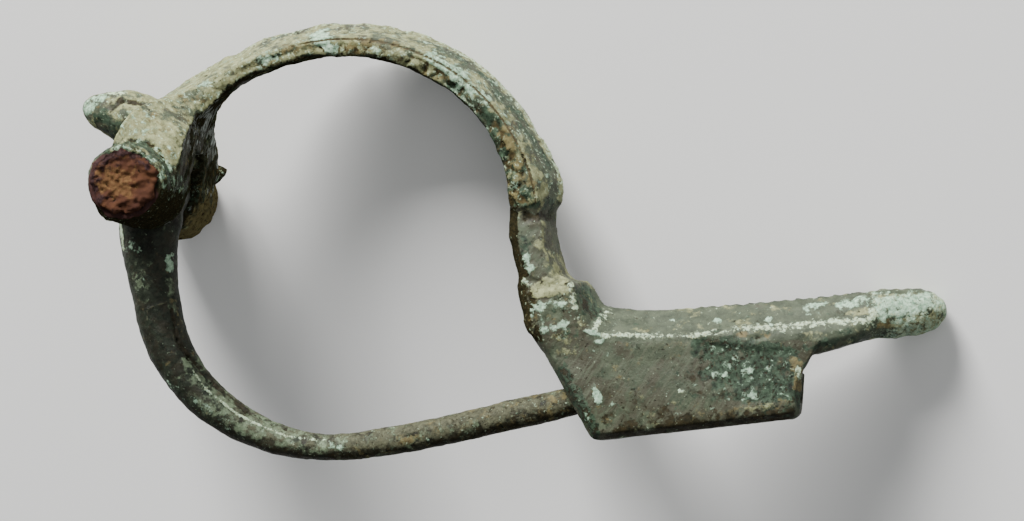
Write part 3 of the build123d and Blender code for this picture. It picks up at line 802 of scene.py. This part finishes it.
def casting_masks(places, facing, depth):
    """Where each patina lies on the casting, with painted shade and painted highlights among its coats."""
    zones = zone_weights(places, facing)
    angle, radius = round_arch(places)
    total = sum(zones.values()) + 1e-6
    masks = {}
    for coat in Zone._fields:
        thick = sum(weight * getattr(ZONES[zone], coat) for zone, weight in zones.items())
        masks[coat] = thick / total
    x, y, z = places.T
    masks["cream"] += 0.4 * lumps(places, 2.2, 3, 71.0)
    masks["olive"] += 0.3 * lumps(places, 2.0, 3, 72.0)
    masks["mint"] += 0.18 * lumps(places, 1.8, 3, 73.0)
    masks["ochre"] += 0.16 * lumps(places, 2.2, 3, 74.0)
    gap, tint, bead = beaded(places, facing)
    lay(masks, bead * around(0.92, 0.1, tint), mint=0.45)
    lay(masks, bead * around(0.6, 0.12, tint), ochre=0.4)
    lay(masks, bead * around(0.35, 0.15, tint), cream=0.3)
    lay(masks, bead * around(0.1, 0.12, tint), green=0.5, cream=-0.4)
    footward = zones["side"] * fade(35, 65, angle)
    lay(masks, footward, cream=-0.36, olive=0.2, green=0.25)
    # Painted shade: the lower inner edge of the side, on the foot's half of the arch, darkened with green and pit
    edge = zones["side"] * fade(50, 70, angle)
    edge *= fade(-1.4, -0.8, radius - groove_radius(angle))
    lay(masks, edge, green=0.6, cream=-0.4, pit=0.3)
    ridge = zones["roof"] * smooth(10, 20, angle) * fade(56, 72, angle)
    band = ridge * around(-1.1, 0.5, y + 0.15 * lumps(places, 1.2, 2, 76.0))
    lay(masks, band, cream=-0.75, green=0.4)
    # Painted highlight: pale fleck along the ridge of the roof
    lay(masks, ridge * smooth(-0.5, -0.1, y) + zones["roof"] * around(0, 0.5, y), fleck=0.2)
    ring = zones["near_ring"]
    bands = arm_bands(places)
    top = smooth(-1.8, 0.6, z) * smooth(-1.5, 0.5, x + 0.5 * z)
    lay(masks, ring * bands * top, cream=0.36, mint=0.25)
    lay(masks, ring * (0.5 - bands), green=0.3)
    lay(masks, ring * smooth(1.6, 2.4, x) * smooth(-1.6, 0.2, z), mint=0.2)
    # Painted shade: soil and pit on the lower part of the near ring
    lay(masks, ring * fade(-1.8, 0.6, z), soil=0.7, pit=0.5)
    rim = ring * smooth(0.4, 0.8, -facing[:, 1])
    rim *= fade(0.2, 1.6, 0.8 * x + z + 0.5 * lumps(places, 0.9, 2, 75.0))
    masks["rust"] = rim + 0.4 * zones["far_arm"]
    # Painted shade: faces of the neck and knee that face left, into the arch, darkened with soil and pit, with
    # their cream and mint taken off
    shaded_leftward = (zones["neck"] + zones["knee"]) * smooth(0.2, 0.5, -facing[:, 0])
    lay(masks, shaded_leftward, soil=0.9, pit=0.6, cream=-0.5, mint=-0.3)
    lay(masks, zones["neck"] * smooth(0.3, 0.6, facing[:, 0]), cream=0.14)
    lay(masks, zones["plate"] * smooth(12.2, 15.4, -z), soil=0.3)
    plate = zones["plate"] * streaks(places, 55, 3.2, 0.5, 44.0)
    lay(masks, plate, olive=0.35, ochre=0.1, streak=-0.2)
    bloom = smooth(0.1, 0.4, lumps(places * (1, 0.16, 1), 1.9, 2, 43.0))
    for middle_x, middle_z, reach in BLOOMS:
        off = np.hypot(x - middle_x, z - middle_z) + 0.6 * lumps(places, 0.8, 3, 77.0)
        bloom = np.maximum(bloom, fade(0.5 * reach, reach, off))
    masks["bloom"] = (zones["hollow_head"] + 0.7 * zones["mid_bar"]) * bloom * 0.52
    lay(masks, smooth(0.015, 0.07, depth), pit=0.35, soil=0.25, cream=-0.15)
    lay(masks, smooth(0.015, 0.07, -depth), fleck=0.06, cream=0.15)
    line = engraved_line(places, facing)
    masks["crease"] = np.maximum(0.75 * bead * fade(0.0, 0.25, gap), 0.8 * line)
    masks["dry"] = 1.2 * masks["soil"] + masks["ochre"] + 0.4 * masks["cream"] + 0.3 * masks["green"]
    # Mint crust on the drops, with pale fleck over it as painted light on the nub of the far arm, which lies in
    # shade
    for drop in DROPS:
        masks["mint"] = np.maximum(masks["mint"], 0.8 * drop_share(places, drop))
        masks["fleck"] = np.maximum(masks["fleck"], 0.6 * drop_share(places, drop))
    return add_marks(masks, places, CASTING_MARKS)


class OBJECT_OT_brooch_casting(bpy.types.Operator):
    """Cast bronze body with the bow, crossbar, knob, foot and catch."""

    bl_idname = "object.brooch_casting"
    bl_label = "Bronze casting"

    def execute(self, context):
        paint = colours()
        piece = fine_copy("bow", "bow_casting", sizes().casting_cell)
        soften(piece, casting_seams)
        raise_surface(piece, casting_relief)
        thin_out(piece)
        put_masks(piece, casting_masks)
        coats = [
            Coat("olive", paint.olive, paint.sage, 1.4, 2.0, 0.1),
            Coat("streak", paint.olive, paint.taupe, 0.2, 1.6, 0.08, 9.0, 55.0),
            Coat("green", paint.green, paint.black, 0.7, 2.6, 0.1),
            Coat("cream", paint.bone, paint.cream, 0.8, 2.4, 0.5),
            Coat("soil", paint.soil, paint.black, 0.7, 2.4, -0.1),
            Coat("ochre", paint.ochre, paint.clay, 0.8, 2.4, 0.3),
            Coat("mint", paint.mint, paint.verdigris, 0.45, 2.4, 0.6),
            Coat("bloom", paint.frost, paint.taupe, 0.4, 2.0, 0.6, 4.0, 60.0),
            Coat("crease", paint.clay, paint.soil, 0.3, 0.8, -0.3),
            Coat("pit", paint.soil, paint.black, 0.28, 2.8, -0.8),
            Coat("fleck", paint.bone, paint.mint, 0.26, 2.6, 0.4),
            Coat("rust", paint.rust_red, paint.rust_purple, 0.4, 1.2, 0.5),
        ]
        # Cast bronze with a patina: a dull brown-green skin with a faint shine, under crusts of cream
        # and mint and a soil without shine that gathers in the hollows. The soil, green and pit coats
        # also carry painted shade, and the fleck coat painted highlights
        skin = (paint.taupe, paint.umber)
        bronze = layered_material("patinated_cast_bronze", skin, coats, (0.5, 0.8), 0.2)
        settle(piece, "bow", "casting", bronze)
        return {"FINISHED"}


def rust_relief(places, facing):
    """How far the rust stands out. It does so on the two ends alone: the core between them is
    hidden, and the pin's eye needs its room round it."""
    size = sizes()
    ends = smooth(7.5, 8.2, np.abs(places[:, 1]))
    swollen = smooth(-0.9, -0.4, facing[:, 1] + 0.2 * lumps(places, 0.9, 2, 6.0))
    rough = lumps(places, size.rust_size, 3) + 0.35 * lumps(places, size.rust_size / 3, 2, 4.0)
    rim = (1 - np.abs(facing[:, 1])) * fade(-8.5, -8.0, places[:, 1])
    return ends * (size.rust_height * (rough + 0.3 * swollen) - size.rust_waste * rim)


def rust_masks(places, _, depth):
    """Where the rust is orange, where it is purple-brown and where it is hollow."""
    x, z = places[:, 0], places[:, 2]
    ragged = 0.6 * lumps(places, 1.1, 3, 3.0)
    out = np.hypot(x, z) + ragged
    warm = np.hypot(x + 0.5, z - 0.1) + ragged
    return {
        "orange": 0.8 * fade(0.2, 1.9, warm) + 0.08,
        "purple": 0.1 + 0.6 * smooth(0.9, 2.0, out) * smooth(-2.4, 1.0, z - 0.8 * x),
        "crease": 0.05 + 0.5 * smooth(0.01, 0.12, depth),
        "dry": np.ones(len(places)),
    }


class OBJECT_OT_brooch_axle(bpy.types.Operator):
    """Iron hinge axle, swollen and rusted."""

    bl_idname = "object.brooch_axle"
    bl_label = "Iron axle"

    def execute(self, context):
        paint = colours()
        piece = fine_copy("hinge_axle", "rusted_axle", sizes().axle_cell)
        raise_surface(piece, rust_relief)
        put_masks(piece, rust_masks)
        coats = [
            Coat("orange", paint.rust_yellow, paint.rust_orange, 0.5, 2.0, 0.3),
            Coat("purple", paint.rust_purple, paint.rust_dark, 0.45, 2.0, 0.3),
            Coat("crease", paint.rust_dark, paint.black, 0.25, 2.0, -0.5),
        ]
        # Wrought iron with rust: rough and lumpy, without shine, warmer in the middle of its end
        skin = (paint.rust_red, paint.rust_orange)
        rust = layered_material("rusted_wrought_iron", skin, coats, (0.7, 0.95), 0.16)
        settle(piece, "hinge_axle", "casting", rust)
        return {"FINISHED"}


# The marks on the pin, its fine rib and groove among them
PIN_MARKS = [Mark(*row) for row in (
    ("mint", 1.15, -4.3, 1.25, -5.0, 0.28, 0.9, 0.04),
    ("mint", -1.3, -3.6, -0.8, -3.7, 0.4, 0.5, 0.03),
    # Painted highlight: a light sliver along the left edge of the pin, under the crossbar
    ("fleck", -2.0, -2.2, -1.8, -3.7, 0.16, 0.8),
    ("olive", -0.6, -4.8, -0.2, -6.8, 0.6, 0.6),
    ("cream", -0.1, -7.6, 1.1, -7.15, 0.1, 0.75, 0.05),
    ("olive", 1.2, -5.7, 1.5, -7.9, 0.25, 0.75),
    ("cream", -0.15, -7.6, -0.15, -8.3, 0.09, 0.5, 0.04),
    ("ochre", 1.5, -7.0, 2.3, -10.4, 0.3, 0.35),
    ("ochre", 2.6, -10.4, 4.6, -12.4, 0.22, 0.42),
    ("soil", 1.35, -7.65, 1.8, -9.6, 0.12, 0.8, -0.12),
    ("soil", 1.8, -9.6, 2.5, -10.7, 0.14, 0.9, -0.16),
    ("soil", 2.5, -10.7, 4.0, -12.35, 0.16, 1.0, -0.22),
    ("soil", 4.0, -12.35, 6.3, -14.15, 0.15, 1.0, -0.2),
    ("soil", 6.3, -14.15, 8.7, -15.25, 0.12, 0.85, -0.14),
    ("olive", 2.3, -11.0, 3.7, -12.5, 0.3, 0.9, 0.05),
    ("fleck", 2.8, -11.6, 3.6, -12.7, 0.09, 1.0, 0.06),
    ("fleck", 3.6, -12.7, 5.6, -14.3, 0.09, 1.0, 0.08),
    ("fleck", 5.6, -14.3, 7.2, -15.1, 0.09, 1.0, 0.07),
    ("fleck", 7.2, -15.1, 8.9, -15.75, 0.1, 0.65, 0.06),
    ("cream", 4.7, -12.4, 6.8, -14.0, 0.13, 0.7, 0.05),
    ("cream", 6.8, -14.0, 8.8, -15.0, 0.13, 0.7, 0.04),
    ("fleck", 8.9, -15.75, 11.4, -15.95, 0.12, 0.45, 0.04),
    ("ochre", 0.6, -9.6, 1.4, -11.0, 0.6, 0.2),
    ("green", 1.8, -11.6, 4.6, -14.2, 0.8, 0.5),
    ("mint", 1.0, -12.2, 1.4, -12.8, 0.4, 0.36, 0.03),
    ("mint", 3.2, -13.6, 3.8, -14.1, 0.4, 0.34, 0.03),
    ("mint", 4.4, -14.6, 4.9, -14.9, 0.35, 0.36, 0.03),
    ("ochre", 16.4, -16.0, 17.1, -15.8, 0.3, 0.6),
    ("mint", 11.5, -16.3, 12.3, -16.3, 0.4, 0.4, 0.03),
    ("green", 15.0, -15.0, 17.4, -14.5, 0.18, 0.5, -0.05),
)]


def pin_relief(places, facing):
    """How far the corroded surface of the pin stands out. The bore of its eye stays plain, to leave
    the axle its room."""
    size = sizes()
    bore = smooth(0.3, 0.7, facing_hinge(places, facing))
    bore *= fade(1.6, 1.8, np.hypot(places[:, 0], places[:, 2]))
    relief = PIN_SWELL * size.swell_height * lumps(places, size.swell_size, 2, 9.0)
    relief += PIN_GRIT * size.grit_height * lumps(places, size.grit_size, 3, 2.0)
    return (1 - bore) * (relief + marked_relief(places, PIN_MARKS))


def pin_masks(places, facing, depth):
    """Where each patina lies on the pin, with painted shade on its upper part and its underside."""
    x, _, z = places.T
    run = smooth(8, 15, x)
    bend = smooth(0.5, 5, x) * smooth(8, 11, -z) * (1 - run)
    # Painted shade: the underside is darkened with soil and green, and its cream, olive and mint are taken off
    # there
    under = smooth(0.1, 0.8, -facing[:, 2])
    hollow = smooth(0.01, 0.05, depth)
    crest = smooth(0.01, 0.05, -depth)
    masks = {
        "olive": 0.16 + 0.2 * run + 0.46 * bend * (1 - 0.8 * under),
        # Painted shade: green is thickest on the upper part of the pin, away from its bend and its straight
        "green": 0.55 - 0.4 * run - 0.3 * bend + 0.25 * under,
        "cream": 0.58 * run + 0.35 * bend * (1 - under) - 0.2 * under + 0.2 * crest,
        "soil": 0.1 + 0.45 * under + 0.2 * hollow + 0.22 * smooth(18, 26, x),
        "ochre": 0.02 + 0.2 * run + 0.16 * smooth(20, 26, x),
        "mint": 0.08 * bend * (1 - under) + 0.06 * run,
        "pit": 0.12 + 0.35 * hollow,
        "dry": 0.3 + 0.4 * under + 0.2 * run,
        "fleck": 0.05 * bend + 0.05 * run + 0.04 * crest,
    }
    return add_marks(masks, places, PIN_MARKS)


class OBJECT_OT_brooch_pin(bpy.types.Operator):
    """Bronze pin with its eye round the axle."""

    bl_idname = "object.brooch_pin"
    bl_label = "Bronze pin"

    def execute(self, context):
        paint = colours()
        piece = fine_copy("pin", "bronze_pin", sizes().pin_cell)
        raise_surface(piece, pin_relief)
        put_masks(piece, pin_masks)
        coats = [
            Coat("olive", paint.lichen, paint.olive, 1.0, 2.2, 0.1),
            Coat("green", paint.sage, paint.black, 0.7, 2.4, 0.1),
            Coat("cream", paint.sand, paint.drab, 0.6, 2.2, 0.4),
            Coat("soil", paint.soil, paint.black, 0.7, 2.4, -0.1),
            Coat("ochre", paint.ochre, paint.clay, 0.8, 2.4, 0.2),
            Coat("mint", paint.mint, paint.verdigris, 0.4, 2.4, 0.5),
            Coat("pit", paint.soil, paint.black, 0.28, 2.8, -0.7),
            Coat("fleck", paint.bone, paint.mint, 0.24, 2.6, 0.3),
        ]
        # Forged bronze with a patina: darker and smoother than the casting, with a faint shine at
        # the top and a dry beige crust along its straight part. Its darkest skin tone, and the green
        # and soil on its upper part and underside, are painted shade
        skin = (paint.umber, paint.shaded_dusk)
        bronze = layered_material("patinated_forged_bronze", skin, coats, (0.45, 0.8), 0.18)
        settle(piece, "pin", "pin", bronze)
        return {"FINISHED"}


def as_it_lies(x, y, z):
    """A direction in the upright frame, as the brooch lies."""
    return (TO_LYING.to_3x3() @ Vector((x, y, z))).normalized()


def add_lamp(name, towards, far, wide, power):
    """A square soft lamp that shines on the brooch from this direction."""
    lamp = bpy.data.lights.new(name, "AREA")
    lamp.size = wide
    lamp.energy = power
    holder = bpy.data.objects.new(name, lamp)
    holder.matrix_world = towards.to_track_quat("Z", "Y").to_matrix().to_4x4()
    holder.location = towards * far
    bpy.context.scene.collection.objects.link(holder)


# Half the width of the floor, in metres
FLOOR_REACH = 1.5
SKY_STRENGTH = 0.3
# From which way each lamp shines, in the upright frame, how far off and how wide it is, in metres,
# and its power in watts
LAMPS = {
    "key": ((-0.3, -0.6, 0.74), 0.5, 0.18, 8.6),
    "fill": ((0.3, -0.95, 0.1), 0.6, 0.5, 0.7),
}


class OBJECT_OT_brooch_stage(bpy.types.Operator):
    """Pale floor, soft lamps and the camera."""

    bl_idname = "object.brooch_stage"
    bl_label = "Stage"

    def execute(self, context):
        scene = context.scene
        view = scene.brooch_view
        sheet = bmesh.new()
        bmesh.ops.create_grid(sheet, x_segments=1, y_segments=1, size=FLOOR_REACH)
        mesh = bpy.data.meshes.new("floor")
        sheet.to_mesh(mesh)
        sheet.free()
        floor = bpy.data.objects.new("floor", mesh)
        scene.collection.objects.link(floor)
        # Matt paper: pale and even, with no shine
        paper = bpy.data.materials.new("matt_paper")
        paper.use_nodes = True
        sheen = paper.node_tree.nodes["Principled BSDF"]
        sheen.inputs["Base Color"].default_value = colours().floor
        sheen.inputs["Roughness"].default_value = 0.9
        mesh.materials.append(paper)

        world = bpy.data.worlds.new("studio")
        world.use_nodes = True
        sky = world.node_tree.nodes["Background"]
        sky.inputs["Color"].default_value = colours().sky
        sky.inputs["Strength"].default_value = SKY_STRENGTH
        scene.world = world
        for name, (towards, far, wide, power) in LAMPS.items():
            add_lamp(name, as_it_lies(*towards), far, wide, power)

        level = cos(view.elevation)
        ahead = as_it_lies(
            -sin(view.azimuth) * level, cos(view.azimuth) * level, -sin(view.elevation)
        )
        right = as_it_lies(cos(view.azimuth), sin(view.azimuth), 0)
        up = right.cross(ahead)
        aim = TO_LYING.translation + right * view.rightward * MM - up * view.downward * MM
        eye = bpy.data.cameras.new("camera")
        eye.angle_x = 2 * atan(view.picture_width / 2 / view.distance)
        eye.clip_start = 0.01
        camera = bpy.data.objects.new("camera", eye)
        turn = Matrix((right, up, -ahead)).transposed().to_4x4()
        camera.matrix_world = Matrix.Translation(aim - ahead * view.distance * MM) @ turn
        scene.collection.objects.link(camera)
        scene.camera = camera
        return {"FINISHED"}


class VIEW3D_PT_brooch(bpy.types.Panel):
    """Sizes, colours and pieces of the brooch."""

    bl_label = "Brooch"
    bl_space_type = "VIEW_3D"
    bl_region_type = "UI"
    bl_category = "Brooch"

    def draw(self, context):
        scene = context.scene
        for group in (scene.brooch_relief, scene.brooch_colours, scene.brooch_view):
            box = self.layout.box()
            for name in group.bl_rna.properties.keys():
                if name not in ("rna_type", "name"):
                    box.prop(group, name)
        for piece in PIECES:
            self.layout.operator(piece.bl_idname)


PIECES = (
    OBJECT_OT_brooch_casting,
    OBJECT_OT_brooch_axle,
    OBJECT_OT_brooch_pin,
    OBJECT_OT_brooch_stage,
)
GROUPS = {"brooch_relief": BroochRelief, "brooch_colours": BroochColours, "brooch_view": BroochView}


def register():
    """Adds the sizes and colours to the scene, and the pieces and the panel to the editor."""
    for group in GROUPS.values():
        bpy.utils.register_class(group)
    for name, group in GROUPS.items():
        setattr(bpy.types.Scene, name, bpy.props.PointerProperty(type=group))
    for shown in (*PIECES, VIEW3D_PT_brooch):
        bpy.utils.register_class(shown)


def unregister():
    """Takes them out again."""
    for shown in (VIEW3D_PT_brooch, *reversed(PIECES)):
        bpy.utils.unregister_class(shown)
    for name, group in GROUPS.items():
        delattr(bpy.types.Scene, name)
        bpy.utils.unregister_class(group)


def main():
    """Makes every piece and the stage."""
    register()
    bpy.ops.object.brooch_casting()
    bpy.ops.object.brooch_axle()
    bpy.ops.object.brooch_pin()
    bpy.ops.object.brooch_stage()


if __name__ == "__main__":
    main()
